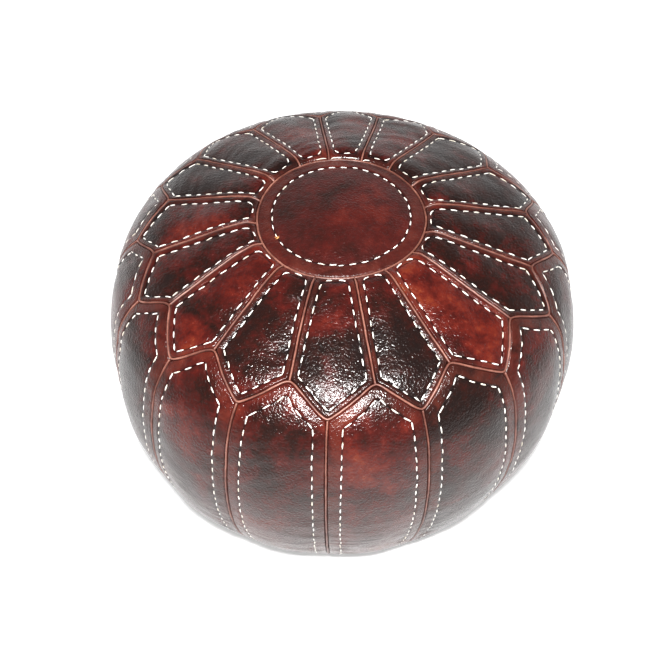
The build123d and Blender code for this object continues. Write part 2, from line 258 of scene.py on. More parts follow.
def simulate_cover():
    """Heights that a pressed cloth takes over the outline, with its seams held, on a grid of (t, c)."""
    columns = PANELS * COLUMNS
    c, t = np.meshgrid(np.arange(columns) / COLUMNS, LEVELS)
    s, theta = arc_length(c, t), azimuth(c, t)
    rest = place(theta, s, np.zeros_like(s))
    e = 0.05 * MM
    normal = place(theta, s, s * 0 + e) - rest
    normal /= np.maximum(np.linalg.norm(normal, axis=-1, keepdims=True), 1e-9)
    rows = len(LEVELS)
    points = rest.reshape(-1, 3)
    ends = np.array([[0, 0, rest[0, :, 2].max() + 0.0004], [0, 0, BASE_LIFT * MM]])
    grid = np.arange(rows * columns).reshape(rows, columns)
    right = np.roll(grid, -1, axis=1)
    quads = ring_quads(grid).tolist()
    top, low = rows * columns, rows * columns + 1
    fans = [(top, int(a), int(b)) for a, b in zip(grid[0], right[0])]
    fans += [(low, int(b), int(a)) for a, b in zip(grid[-1], right[-1])]
    mesh = bpy.data.meshes.new("pressed")
    mesh.from_pydata(np.vstack([points, ends]).tolist(), [], quads + fans)
    cloth = bpy.data.objects.new("pressed", mesh)
    bpy.context.scene.collection.objects.link(cloth)
    column = np.tile(np.arange(columns) % COLUMNS, (rows, 1))
    seam = np.isclose(t, 0) | np.isclose(t, 1) | (t > 1.9)
    seam |= (column == COLUMNS // 2) & (t >= 0) & (t <= 1)
    seam |= (column == 0) & (t >= 1)
    seam |= rest[..., 2] < 4 * MM
    held = cloth.vertex_groups.new(name="held")
    held.add(np.flatnonzero(seam.ravel()).tolist() + [low], 1.0, "REPLACE")
    modifier = cloth.modifiers.new("cloth", "CLOTH")
    cloth_settings(modifier.settings)
    modifier.point_cache.frame_start = 1
    modifier.point_cache.frame_end = FRAMES
    for number in range(1, FRAMES + 1):
        bpy.context.scene.frame_set(number)
    shown = cloth.evaluated_get(bpy.context.evaluated_depsgraph_get())
    moved = np.zeros(len(shown.data.vertices) * 3, np.float32)
    shown.data.vertices.foreach_get("co", moved)
    moved = moved.reshape(-1, 3)[: rows * columns].reshape(rows, columns, 3)
    bpy.data.objects.remove(cloth)
    bpy.data.meshes.remove(mesh)
    bpy.context.scene.frame_set(1)
    heights = ((moved - rest) * normal).sum(-1) * (1 - 0.45 * (t < 0))
    return np.clip(heights, PILLOW_LOW, PILLOW_HIGH)


def eased(heights):
    """Heights with the coarsest folds of the simulated grid rounded off."""
    for _ in range(2):
        heights = 0.5 * heights + 0.25 * (np.roll(heights, 1, axis=1) + np.roll(heights, -1, axis=1))
        heights[1:-1] = 0.5 * heights[1:-1] + 0.25 * (heights[:-2] + heights[2:])
    return heights


def seam_distance(c, t):
    """Distance to the nearest seam, and to the nearest one that runs down the cover, in metres."""
    s = arc_length(c, t)
    wide = radius(s) * PITCH
    across = np.where(t < 1, np.abs(c - np.floor(c) - 0.5), np.abs(c - np.round(c))) * wide
    across = np.where(t < 0, 1.0, across)
    tilt = slant(c)
    zig = np.abs(s - zigzag(c)) * tilt
    beside = np.where(t < 1, np.minimum(s - S_DISC, zig), np.minimum(zig, S_BASE - s))
    along = np.where(t < 0, -t * S_DISC, beside)
    k, far = 1.0 * MM, 0.1
    nearest = -k * np.log(np.exp(-np.minimum(across, far) / k) + np.exp(-np.minimum(along, far) / k))
    return nearest, across


HEIGHTS = eased(simulate_cover())


def pillow(c, t):
    """The simulated height at any seam coordinates."""
    u = (np.asarray(c) * COLUMNS) % (PANELS * COLUMNS)
    i = np.floor(u).astype(int)
    f = u - i
    v = np.interp(t, LEVELS, np.arange(len(LEVELS)))
    j = np.minimum(np.floor(v).astype(int), len(LEVELS) - 2)
    g = v - j
    n = PANELS * COLUMNS
    low = HEIGHTS[j, i % n] * (1 - f) + HEIGHTS[j, (i + 1) % n] * f
    high = HEIGHTS[j + 1, i % n] * (1 - f) + HEIGHTS[j + 1, (i + 1) % n] * f
    return low * (1 - g) + high * g


# How far the rows of stitches lie from their seams.
PETAL_INSET, SIDE_INSET, DISC_INSET = 7.2 * MM, 13.5 * MM, 15.6 * MM
# How much of the simulated height the disc and the upper sides keep, and the petals and the lower sides.
FULL, SUNKEN = 0.85, 0.60
# The swell round the disc, in mm: its height, how soon it rises and how far it reaches.
SWELL_HEIGHT, SWELL_RISE, SWELL_REACH = 5.4, 6.5, 50.0
STITCH_PERIOD = 12.8  # mm, with a pucker to each stitch


def band(d, t):
    """Relief beside a seam: the edge dips, the turned-in leather stands proud and the stitches pull in."""
    d = d / MM
    inset = np.where(t < 0, DISC_INSET, np.where(t < 1, PETAL_INSET, SIDE_INSET)) / MM
    flat = 0.8 * smooth((d - 0.9) / 1.8) * (1 - smooth((d - inset + 2.6) / 4.2))
    round_over = 1.5 * smooth((d - 0.8) / 1.7) * (1 - smooth((d - 2.2) / 6.0))
    proud = np.where((t > 0) & (t < 1), round_over, flat)
    dip = np.where(t < 0, -0.5, -1.5) * (1 - smooth((d - 0.6) / 1.3))
    pulled = -0.45 * np.exp(-(((d - inset) / 1.5) ** 2))
    return (proud + dip + pulled) * MM


def slack(t):
    """How far the seams are drawn in under the outline, which the pillows stand out over."""
    petals = 1.0 * smooth((t - 0.3) / 0.5)
    shoulder = 1.2 * smooth((t - 1.05) / 0.3)
    lower = 1.0 * smooth((t - 1.45) / 0.3)
    return (petals + shoulder - lower) * MM


def swell(c, t):
    """How far the petals, with the welts between them, stand up round the disc's seam."""
    d = np.maximum(arc_length(c, t) - S_DISC, 0) / MM
    height = SWELL_HEIGHT * (1 - np.exp(-((d / SWELL_RISE) ** 1.6))) * np.exp(-((d / SWELL_REACH) ** 2))
    return np.where((t > 0) & (t < 1), height, 0) * MM


def relief(c, t, seed):
    """Height of the leather over the outline, at seam coordinates. The disc's noise lies in plan."""
    s = arc_length(c, t)
    nearest, across = seam_distance(c, t)
    x = np.where(t < 0, radius(s) * np.cos(c * PITCH), c * radius(s) * PITCH) / MM
    y = np.where(t < 0, radius(s) * np.sin(c * PITCH), s) / MM
    lower = np.where(t > 1, smooth((t - 1.45) / 0.4), t > 0)
    h = pillow(c, t) * (FULL + (SUNKEN - FULL) * lower)
    h += swell(c, t) - slack(t) + band(nearest, t)
    side = smooth((t - 1.25) / 0.4) * (t > 1)
    drawn = np.exp(-(((across / MM - SIDE_INSET / MM) / 8) ** 2))
    creased = (0.10 + side * (0.6 + 1.0 * drawn)) * smooth(nearest / (5 * MM))
    h += creased * noise(x / 26 + 0.5 * noise(x / 40, y / 12, seed + 5), y / 5.2, seed) * 0.42 * MM
    puckers = np.sin(2 * pi * y / STITCH_PERIOD + 2 * noise(x / 9, y / 40, seed + 6))
    h += side * drawn * smooth(nearest / (3 * MM)) * puckers * 0.22 * MM
    folded = smooth((t - 1.5) / 0.25) * smooth(nearest / (6 * MM)) * (0.5 + 0.5 * drawn)
    h -= folded * np.abs(noise(x / 38 + 0.6 * noise(x / 30, y / 9, seed + 7), y / 8.5, seed + 8)) * 0.9 * MM
    h += 0.35 * MM * noise(x / 22, y / 24, seed + 1) * smooth(nearest / (9 * MM))
    h += 0.07 * MM * noise(x / 3.1, y / 2.7, seed + 2)
    return h


def normals(c, t):
    """Outward directions of the outline. At the flat foot, where heights fade, its table gives them."""
    theta, s = azimuth(c, t), arc_length(c, t)
    n = place(theta, s, s * 0 + 1 * MM) - place(theta, s, s * 0)
    upright = np.sin(np.interp(s, S_TABLE, N_TABLE)) * MM
    n[..., 2] = np.where(np.abs(n[..., 2]) < 1e-7, upright, n[..., 2])
    return n / np.linalg.norm(n, axis=-1, keepdims=True)


def surface(c, t, seed, lift=0.0):
    """Points on the leather, or lifted off it along the outline's normal."""
    return place(azimuth(c, t), arc_length(c, t), relief(c, t, seed)) + normals(c, t) * lift


# ---------------------------------------------------------------- meshes

def new_mesh(name, points, faces, body, **attributes):
    """A smooth mesh from arrays of points and quads, with one number per point for each attribute."""
    mesh = bpy.data.meshes.new(name)
    faces = np.asarray(faces, np.int32)
    mesh.vertices.add(len(points))
    mesh.vertices.foreach_set("co", np.asarray(points, np.float32).ravel())
    mesh.loops.add(faces.size)
    mesh.loops.foreach_set("vertex_index", faces.ravel())
    mesh.polygons.add(len(faces))
    mesh.polygons.foreach_set("loop_start", np.arange(0, faces.size, faces.shape[1], dtype=np.int32))
    mesh.polygons.foreach_set("use_smooth", np.ones(len(faces), bool))
    mesh.update(calc_edges=True)
    for key, values in attributes.items():
        layer = mesh.attributes.new(key, "FLOAT", "POINT")
        layer.data.foreach_set("value", np.asarray(values, np.float32).ravel())
    mesh.validate()
    piece = bpy.data.objects.new(name, mesh)
    bpy.context.scene.collection.objects.link(piece)
    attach(piece, body)
    return piece


def sheet_quads(rows, columns):
    """Quads of an open sheet of rows by columns points."""
    grid = np.arange(rows * columns).reshape(rows, columns)
    return np.stack([grid[:-1, :-1], grid[1:, :-1], grid[1:, 1:], grid[:-1, 1:]], -1).reshape(-1, 4)


def shell(name, outer, inner, **attributes):
    """A closed skin between two grids of points, outer and inner, each rows by columns."""
    rows, columns = outer.shape[:2]
    n = rows * columns
    grid = np.arange(n).reshape(rows, columns)
    rim = np.concatenate([grid[0, :], grid[1:, -1], grid[-1, -2::-1], grid[-2:0:-1, 0]])
    after = np.roll(rim, -1)
    front = sheet_quads(rows, columns)
    faces = np.vstack([front, front[:, ::-1] + n, np.stack([rim, after, after + n, rim + n], -1)])
    points = np.vstack([outer.reshape(-1, 3), inner.reshape(-1, 3)])
    doubled = {key: np.tile(np.ravel(values), 2) for key, values in attributes.items()}
    return new_mesh(name, points, faces, "cover", **doubled)


# Distances from a seam, in mm, at which a panel has a line of points: in each block, then beside the
# disc's and the base's seam.
NEAR_SEAM = {0: (0.8, 1.3, 1.9, 2.6, 3.5, 4.8, 6.0, 7.2, 8.4, 9.9, 11.8),
             1: (0.8, 1.3, 1.9, 2.7, 3.9, 5.6, 7.6, 9.6, 11.4, 12.6, 13.5, 14.6, 16.2, 18.4)}
NEAR_DISC = (0.8, 1.3, 1.9, 2.7, 3.6, 4.8, 6.5)
NEAR_BASE = (0.4, 1.4, 2.6, 4.2, 6.4)


def panel_coordinates(middle, block):
    """Grid of (c, t) over one panel, with lines close together and at set distances beside its seams."""
    edge = np.array(NEAR_SEAM[block]) * MM
    across = np.linspace(0, 1, 20 if block == 0 else 25)[1:-1]
    top = np.array(NEAR_DISC if block == 0 else NEAR_SEAM[1]) * MM
    bottom = np.array(NEAR_SEAM[0] if block == 0 else NEAR_BASE) * MM
    down = np.linspace(0, 1, 40 if block == 0 else 150)[1:-1]
    rows = len(top) + len(down) + len(bottom)
    columns = 2 * len(edge) + len(across)
    c = np.tile(np.linspace(middle - 0.49, middle + 0.49, columns), (rows, 1))
    for _ in range(4):
        z, tilt = zigzag(c), slant(c)
        upper = np.full_like(c, S_DISC) if block == 0 else z
        lower = z if block == 0 else np.full_like(c, S_BASE)
        upper_tilt = np.ones_like(c) if block == 0 else tilt
        lower_tilt = tilt if block == 0 else np.ones_like(c)
        s = np.empty_like(c)
        n, m = len(top), len(top) + len(down)
        s[:n] = upper[:n] + top[:, None] / upper_tilt[:n]
        s[m:] = lower[m:] - bottom[::-1, None] / lower_tilt[m:]
        start = upper[n:m] + top[-1] / upper_tilt[n:m]
        end = lower[n:m] - bottom[-1] / lower_tilt[n:m]
        s[n:m] = start + (end - start) * down[:, None]
        wide = radius(s.mean(1, keepdims=True)) * PITCH
        x = np.concatenate([edge * np.ones((rows, 1)),
                            edge[-1] + (wide - 2 * edge[-1]) * across,
                            wide - edge[::-1]], axis=1)
        c = middle - 0.5 + x / wide
    return c, down_to(c, s, block)


def panel(name, middle, block, seed, tone):
    """One petal or side panel, with what its material needs to know at each point."""
    c, t = panel_coordinates(middle, block)
    outer, inner = surface(c, t, seed), surface(c, t, seed, -LEATHER)
    nearest = seam_distance(c, t)[0] / MM
    inset = (PETAL_INSET if block == 0 else SIDE_INSET) / MM
    # Each panel's tone also falls a little toward its lower end.
    tones = tone + 0.10 * ((0.5 if block == 0 else 1.4) - t)
    # How far down a side panel each point lies, for the painted shade toward the floor.
    low = smooth(t - 1) if block else t * 0
    piece = shell(name, outer, inner, seam=nearest, row=nearest - inset, tone=tones, low=low,
                  mottle=np.ones(c.shape))
    return piece


# ---------------------------------------------------------------- welts and stitches

# A welt's section, as (across, up) in mm and how much of its pale top each point carries, partly wear and
# partly a painted highlight.
WELT_HALF = ((-1.2, -1.2, 0.0), (-1.25, 0.1, 0.0), (-1.12, 0.8, 0.1), (-0.82, 1.4, 0.5), (-0.42, 1.75, 1.0))
WELT_PROFILE = WELT_HALF + ((0.0, 1.85, 1.0),) + tuple((-x, y, wear_and_highlight) for x, y, wear_and_highlight in WELT_HALF[::-1])


def travelled(points):
    """Distance along a line, at each of its points."""
    return np.concatenate([[0], np.cumsum(np.linalg.norm(np.diff(points, axis=0), axis=1))])


def ridge(points, up, closed, seed, width=1.0, height=1.0):
    """A welt along some points: its own points, quads and how near each is to its pale top, partly worn and
    partly a painted highlight.
    """
    forward = np.roll(points, -1, 0) - np.roll(points, 1, 0) if closed else np.gradient(points, axis=0)
    side = np.cross(forward, up)
    side /= np.linalg.norm(side, axis=-1, keepdims=True)
    n = len(points)
    along = travelled(points) / MM
    sway = 0.22 * noise(along / 17, along * 0, seed) + 0.08 * noise(along / 4, along * 0, seed + 1)
    thick = 1 + 0.09 * noise(along / 9, along * 0, seed + 2) + 0.05 * noise(along / 2.5, along * 0, seed + 3)
    if closed:
        fade = smooth(np.minimum(along, along[-1] - along) / 12)
        sway, thick = sway * fade, 1 + (thick - 1) * fade
    profile = np.array(WELT_PROFILE)
    across = profile[:, 0] * width * thick[:, None] + sway[:, None]
    rise = np.where(profile[:, 1] > 0, profile[:, 1] * height * (thick[:, None] * 1.5 - 0.5), profile[:, 1])
    ring = points[:, None] + (side[:, None] * across[..., None] + up[:, None] * rise[..., None]) * MM
    ring[..., 2] = np.maximum(ring[..., 2], LOWEST / 2)
    m = len(profile)
    grid = np.arange(n * m).reshape(n, m)
    if closed:
        grid = np.vstack([grid, grid[:1]])
    right = np.roll(grid, -1, axis=1)
    quads = np.stack([grid[:-1], right[:-1], right[1:], grid[1:]], -1).reshape(-1, 4)
    if not closed:
        ends = []
        for g in (grid[0][::-1], grid[-1]):
            ends += [(g[i], g[i + 1], g[m - 2 - i], g[m - 1 - i]) for i in range(m // 2)]
        quads = np.vstack([quads, np.array(ends)])
    return ring.reshape(-1, 3), quads, np.tile(profile[:, 2], n)


def gather(name, parts, key="wear_and_highlight"):
    """Several (points, quads, values) as one piece, with its values under this name."""
    points, faces, values, first = [], [], [], 0
    for p, f, v in parts:
        points.append(p)
        faces.append(f + first)
        values.append(v)
        first += len(p)
    attribute = {key: np.concatenate(values)}
    return new_mesh(name, np.vstack(points), np.vstack(faces), "cover", **attribute)


def run(c, t, step=1.6 * MM):
    """Evenly spaced (c, t) along a line given by a few of them."""
    along = travelled(place(azimuth(c, t), arc_length(c, t), c * 0))
    even = np.linspace(0, along[-1], max(3, int(along[-1] / step)))
    return np.interp(even, along, c), np.interp(even, along, t)


def welt_on(c, t, closed, seed, **shape):
    """A welt along seam coordinates, drawn in and lifted with the leather beside it."""
    points = place(azimuth(c, t), arc_length(c, t), swell(c, t) - slack(t))
    return ridge(points, normals(c, t), closed, seed, **shape)


def ring_of(t, count):
    """Evenly spaced (c, t) all the way round."""
    c = np.arange(count) / count * PANELS
    return c, np.full(count, float(t))


THREAD_LENGTH, THREAD_GAP, THREAD_WIDTH, THREAD_HEIGHT = 7.9 * MM, 4.9 * MM, 1.5 * MM, 1.05 * MM
THREAD_SUNK, THREAD_DEPTH = 0.35 * MM, 0.55 * MM
RINGS, SIDES = 7, 8  # of points to a stitch, and round it


def stitches(c, t, seed, length=THREAD_LENGTH, gap=THREAD_GAP, width=THREAD_WIDTH):
    """A row of stitches on the leather along a line of (c, t)."""
    c, t = run(c, t, 1.0 * MM)
    points = surface(c, t, seed)
    up = normals(c, t)
    along = travelled(points)
    count = max(1, int(round((along[-1] + gap) / (length + gap))))
    period = (along[-1] + gap) / count
    starts = np.arange(count) * period
    middles = starts + (period - gap) / 2 + rng.normal(0, 0.35 * MM, count)
    spans = (period - gap) * (1 + rng.normal(0, 0.07, count))
    return thread_along(points, up, along, middles, spans, width)


def thread_along(points, up, along, middles, spans, width):
    """Stitches at set places along some points. Each is a thick thread that dives in at both ends."""
    count = len(middles)
    f = np.linspace(-1, 1, RINGS)
    where = np.clip(middles[:, None] + spans[:, None] / 2 * f, 0, along[-1])
    spot = np.stack([np.interp(where, along, points[:, i]) for i in range(3)], -1)
    upward = np.stack([np.interp(where, along, up[:, i]) for i in range(3)], -1)
    upward /= np.linalg.norm(upward, axis=-1, keepdims=True)
    forward = spot[:, -1:] - spot[:, :1]
    side = np.cross(np.broadcast_to(forward, spot.shape), upward)
    side /= np.linalg.norm(side, axis=-1, keepdims=True) + 1e-12
    skew = rng.normal(0, 0.065, (count, 1)) * f * spans[:, None] / 2 + rng.normal(0, 0.25 * MM, (count, 1))
    taper = np.sqrt(np.clip(1 - np.abs(f) ** 2.4, 0.04, 1))
    half = width / 2 * taper * (1 + rng.normal(0, 0.06, (count, 1)))
    high = THREAD_HEIGHT * taper - THREAD_SUNK
    turn = np.arange(SIDES) / SIDES * 2 * pi
    centre = spot + side * skew[..., None] + upward * ((high - THREAD_DEPTH) / 2)[..., None]
    tall = (high + THREAD_DEPTH) / 2
    ring = centre[:, :, None] + side[:, :, None] * (half[..., None] * np.cos(turn))[..., None]
    ring = ring + upward[:, :, None] * (tall[:, None] * np.sin(turn))[None, ..., None]
    ring[..., 2] = np.maximum(ring[..., 2], LOWEST / 2)
    n = RINGS * SIDES
    grid = np.arange(n).reshape(RINGS, SIDES)
    right = np.roll(grid, -1, axis=1)
    quads = np.stack([grid[:-1], right[:-1], right[1:], grid[1:]], -1).reshape(-1, 4)
    corners = ((0, 1, 2, 3), (0, 3, 4, 7), (4, 5, 6, 7))
    caps = [end[list(corner)] for corner in corners for end in (grid[0], grid[-1][::-1])]
    quads = np.vstack([quads, np.array(caps)])
    faces = (quads[None] + (np.arange(count) * n)[:, None, None]).reshape(-1, 4)
    shade = np.repeat(rng.uniform(0, 1, count), n)
    return ring.reshape(-1, 3), faces, shade


FROM_DISC, FROM_BASE = 4.5 * MM, 9.0 * MM  # where the rows down the panels start and end


def inset_line(middle, block, distance, side):
    """A line of (c, t) down a panel, this far inside one of its side seams, between the rows across it."""
    steps = np.linspace(0, 1, 240)
    c = np.full(len(steps), middle + side * 0.45)
    inset = PETAL_INSET if block == 0 else SIDE_INSET
    for _ in range(4):
        z, tilt = zigzag(c), slant(c)
        if block == 0:
            s = S_DISC + FROM_DISC + (z - inset / tilt - S_DISC - FROM_DISC) * steps
        else:
            s = z + inset / tilt + (S_BASE - FROM_BASE - z - inset / tilt) * steps
        c = middle + side * (0.5 - distance / (radius(s) * PITCH))
    return c, down_to(c, s, block)


def zigzag_row(middle, block, distance):
    """The two legs of a row of stitches beside the zigzag seam, inside a panel."""
    sign = -1 if block == 0 else 1
    legs = []
    for side in (-1, 1):
        low = middle + side * (0.5 - distance / (radius(S_TIP if block else S_PEAK) * PITCH))
        c = np.linspace(low, middle + side * 0.012, 80)
        s = zigzag(c) + sign * distance / slant(c)
        legs.append((c, down_to(c, s, block)))
    return legs


def petal_row(middle):
    """The row up one side of a petal, round along the disc and down the other side."""
    from_disc = (4.0 + 3.6 * max(0.0, -cos(middle * PITCH)) ** 2) * MM
    lines = []
    for side in (-1, 1):
        c, t = inset_line(middle, 0, PETAL_INSET, side)
        s = arc_length(c, t)
        keep = s > S_DISC + from_disc
        lines.append((c[keep], s[keep]))
    (left_c, left_s), (right_c, right_s) = lines
    top_c = np.linspace(left_c[0], right_c[0], 40)
    c = np.concatenate([left_c[::-1], top_c, right_c])
    s = np.concatenate([left_s[::-1], np.full(40, S_DISC + from_disc), right_s])
    along = np.concatenate([[0], np.cumsum(np.hypot(np.diff(c) * radius(s[1:]) * PITCH, np.diff(s)))])
    even = np.arange(0, along[-1], 1.0 * MM)
    c, s = np.interp(even, along, c), np.interp(even, along, s)
    for _ in range(2):
        padded = [np.concatenate([2 * v[0] - v[6:0:-1], v, 2 * v[-1] - v[-2:-8:-1]]) for v in (c, s)]
        c, s = (np.convolve(v, np.full(13, 1 / 13), "valid") for v in padded)
    return c, down_to(c, s, 0)


def panel_stitches(middle, block, seed):
    """All the rows of stitches on one panel."""
    if block == 0:
        rows = [stitches(*petal_row(middle), seed)]
    else:
        rows = [stitches(*inset_line(middle, block, SIDE_INSET, side), seed) for side in (-1, 1)]
    for leg in zigzag_row(middle, block, PETAL_INSET if block == 0 else SIDE_INSET):
        rows.append(stitches(*leg, seed))
    return rows


# ---------------------------------------------------------------- materials

class Nodes:
    """Builds one node material, at the object's own coordinates. Each call adds a node and returns it."""

    def __init__(self, name):
        self.material = bpy.data.materials.new(name)
        self.material.use_nodes = True
        self.tree = self.material.node_tree
        self.shader = self.tree.nodes["Principled BSDF"]
        self.at = self.add("TexCoord").outputs["Object"]

    def add(self, kind, inputs=(), **settings):
        """Any node, with its settings and what goes into its sockets."""
        node = self.tree.nodes.new("ShaderNode" + kind)
        for key, value in settings.items():
            setattr(node, key, value)
        for key, value in dict(inputs).items():
            self.plug(node.inputs[key], value)
        return node

    def plug(self, socket, value):
        """Links a node or a socket to a socket, or sets its value."""
        if isinstance(value, bpy.types.Node):
            value = value.outputs[0]
        if isinstance(value, bpy.types.NodeSocket):
            self.tree.links.new(value, socket)
        else:
            socket.default_value = value

    def math(self, operation, a, b=0.0, clamp=False):
        return self.add("Math", {0: a, 1: b}, operation=operation, use_clamp=clamp)

    def plus(self, a, b):
        return self.math("ADD", a, b)

    def minus(self, a, b):
        return self.math("SUBTRACT", a, b)

    def times(self, a, b):
        return self.math("MULTIPLY", a, b)

    def stretched(self, scale):
        """The object's coordinates, stretched."""
        return self.add("Mapping", {"Vector": self.at, "Scale": scale})

    def noise(self, scale, detail, roughness=0.5, distortion=0.0, at=None):
        """A number from 0 to 1 from fractal noise."""
        inputs = {"Scale": scale, "Detail": detail, "Roughness": roughness, "Distortion": distortion}
        return self.add("TexNoise", {**inputs, "Vector": at or self.at}).outputs["Fac"]

    def range(self, value, a, b, c=0.0, d=1.0):
        """Takes a..b to c..d."""
        return self.add("MapRange", {0: value, 1: a, 2: b, 3: c, 4: d}).outputs[0]

    def ramp(self, value, *stops):
        """A colour from stops of (position, colour)."""
        node = self.add("ValToRGB", {0: value})
        ramp = node.color_ramp
        while len(ramp.elements) < len(stops):
            ramp.elements.new(0.5)
        for element, (position, colour) in zip(ramp.elements, stops):
            element.position, element.color = position, (*colour, 1)
        return node.outputs["Color"]

    def mix(self, factor, a, b):
        """Colour a, going over to b where the factor is 1."""
        node = self.add("Mix", data_type="RGBA")
        for key, value in ((0, factor), (6, a), (7, b)):
            if isinstance(value, tuple) and len(value) == 3:
                value = (*value, 1)
            self.plug(node.inputs[key], value)
        return node.outputs[2]

    def attribute(self, name):
        return self.add("Attribute", attribute_name=name).outputs["Fac"]

    def bump(self, height, strength, distance, normal=None):
        inputs = {"Height": height, "Strength": strength, "Distance": distance}
        if normal is not None:
            inputs["Normal"] = normal
        return self.add("Bump", inputs)

    def finish(self, **sockets):
        """Plugs the shader and returns the material."""
        for key, value in sockets.items():
            self.plug(self.shader.inputs[key.replace("_", " ")], value)
        return self.material


def leather():
    """Dyed and polished leather, mottled from nearly black to red, with pebbled grain and fine creases, and
    painted shade along the stitch rows, beside the seams, toward the floor and just above it.
    """
    m = Nodes("pouf_leather")
    tone = m.attribute("tone")
    seam, row = m.attribute("seam"), m.attribute("row")
    cloud = m.noise(11, 4, 0.55, 0.8)
    patch = m.noise(34, 5, 0.62, 0.6)
    fleck = m.noise(150, 5, 0.7, 0.3)
    streaks = m.noise(24, 4, 0.6, 0.4, m.stretched((1.0, 1.0, 0.28)))
    value = m.times(m.minus(cloud, 0.5), 1.45)
    for source, weight in ((patch, 0.7), (streaks, 0.7), (fleck, 0.65)):
        value = m.plus(value, m.times(m.minus(source, 0.5), weight))
    mottle = m.attribute("mottle")
    value = m.plus(m.times(value, mottle), tone)
    colour = m.ramp(value, (0.0, (0.016, 0.009, 0.008)), (0.2, (0.026, 0.009, 0.007)),
                    (0.42, (0.062, 0.010, 0.008)), (0.62, (0.115, 0.017, 0.011)),
                    (0.82, (0.175, 0.036, 0.016)), (1.0, (0.26, 0.080, 0.030)))
    turned_in = m.times(m.range(row, -1.2, -2.8), m.range(patch, 0.35, 0.6, 0.1, 0.6))
    rubbed = m.ramp(patch, (0.3, (0.055, 0.012, 0.009)), (0.7, (0.12, 0.028, 0.018)))
    colour = m.mix(turned_in, colour, rubbed)
    # Painted shadow along each row of stitches, darkest on the row, with the stitch holes in it.
    row_shadow_and_holes = m.range(m.math("ABSOLUTE", row), 0.0, 1.3, 1.0, 0.0)
    colour = m.mix(m.times(row_shadow_and_holes, 0.75), colour, (0.006, 0.003, 0.003))
    # Painted shade in the dip right beside each seam.
    colour = m.mix(m.times(m.range(seam, 1.9, 1.2), 0.45), colour, (0.045, 0.010, 0.008))
    bend = m.add("TexNoise", {"Scale": 260.0, "Detail": 2.0, "Vector": m.at}).outputs["Color"]
    bend = m.add("VectorMath", {0: bend, 1: (0.0022, 0.0022, 0.0022)}, operation="MULTIPLY")
    warp = m.add("VectorMath", {0: m.at, 1: bend}, operation="ADD")
    cells = m.add("TexVoronoi", {"Vector": warp, "Scale": 500.0, "Randomness": 1.0}, feature="SMOOTH_F1")
    cells = cells.outputs["Distance"]
    wide = m.noise(420, 1.5, 0.5, 0.6)
    crease = m.math("ABSOLUTE", m.minus(m.noise(46, 6, 0.6, 1.4), 0.5))
    crease = m.range(crease, 0.0, 0.035)
    first = m.bump(crease, 0.15, 0.0005)
    second = m.bump(wide, 0.7, 0.0008, first)
    third = m.bump(m.minus(1.0, cells), 0.5, 0.0006, second)
    rough = m.range(m.plus(patch, m.times(fleck, 0.5)), 0.5, 1.0, 0.19, 0.29)
    rough = m.plus(rough, m.range(mottle, 0.5, 1.0, 0.14, 0.0))
    # Painted shade: the lower sides turn darker and greyer toward the floor, which lets the floor's
    # reflection read grey there.
    colour = m.mix(m.times(m.attribute("low"), 0.75), colour, (0.036, 0.024, 0.019))
    height = m.add("SeparateXYZ", {0: m.at}).outputs["Z"]
    rough = m.plus(rough, m.range(height, 0.024, 0.034, 0.45, 0.0))
    # Painted contact shade on the leather just above the floor.
    colour = m.mix(m.range(height, 0.022, 0.032, 0.7, 0.0), colour, (0.02, 0.012, 0.009))
    return m.finish(Base_Color=colour, Roughness=rough, Normal=third, IOR=1.46)


def welt_leather():
    """The folded strips, whose tops are paler, partly rubbed and partly a painted highlight, and dim toward
    the floor with painted shade.
    """
    m = Nodes("pouf_welt_leather")
    wear_and_highlight = m.attribute("wear_and_highlight")
    rub = m.noise(38, 6, 0.7, 0.5)
    fine = m.noise(480, 4, 0.6)
    height = m.add("SeparateXYZ", {0: m.at}).outputs["Z"]
    # The pale top is partly rubbed leather and partly a painted highlight.
    top = m.ramp(rub, (0.32, (0.10, 0.034, 0.026)), (0.5, (0.23, 0.095, 0.068)),
                 (0.68, (0.39, 0.19, 0.145)))
    low = m.ramp(rub, (0.3, (0.040, 0.012, 0.009)), (0.7, (0.11, 0.030, 0.020)))
    factor = m.times(wear_and_highlight, m.range(fine, 0.3, 0.6, 0.72, 1.0))
    # Painted shade: the pale tops dim on the welts lower down, toward the floor.
    factor = m.times(factor, m.range(height, 0.04, 0.24, 0.35, 1.0))
    colour = m.mix(factor, low, top)
    normal = m.bump(m.plus(fine, m.times(rub, 0.5)), 0.5, 0.0004)
    return m.finish(Base_Color=colour, Roughness=m.range(rub, 0.3, 0.7, 0.5, 0.36), Normal=normal,
                    Coat_Weight=0.12, Coat_Roughness=0.25)


def thread():
    """Thick pale thread, twisted and a little dirty."""
    m = Nodes("waxed_thread")
    shade = m.attribute("shade")
    dirt = m.noise(260, 4, 0.6)
    colour = m.ramp(m.plus(m.times(shade, 0.5), m.times(dirt, 0.6)),
                    (0.2, (0.66, 0.58, 0.45)), (0.45, (0.86, 0.82, 0.74)), (0.8, (0.95, 0.93, 0.88)))
    twist = m.add("TexWave", {"Vector": m.at, "Scale": 420.0, "Distortion": 1.5, "Detail": 1.0},
                  wave_type="BANDS", bands_direction="DIAGONAL")
    fuzz = m.noise(1500, 3, 0.6)
    normal = m.bump(fuzz, 0.4, 0.0002, m.bump(twist.outputs["Fac"], 0.5, 0.0003))
    rough = m.range(dirt, 0.3, 0.7, 0.6, 0.8)
    return m.finish(Base_Color=colour, Roughness=rough, Normal=normal, Sheen_Weight=0.2)


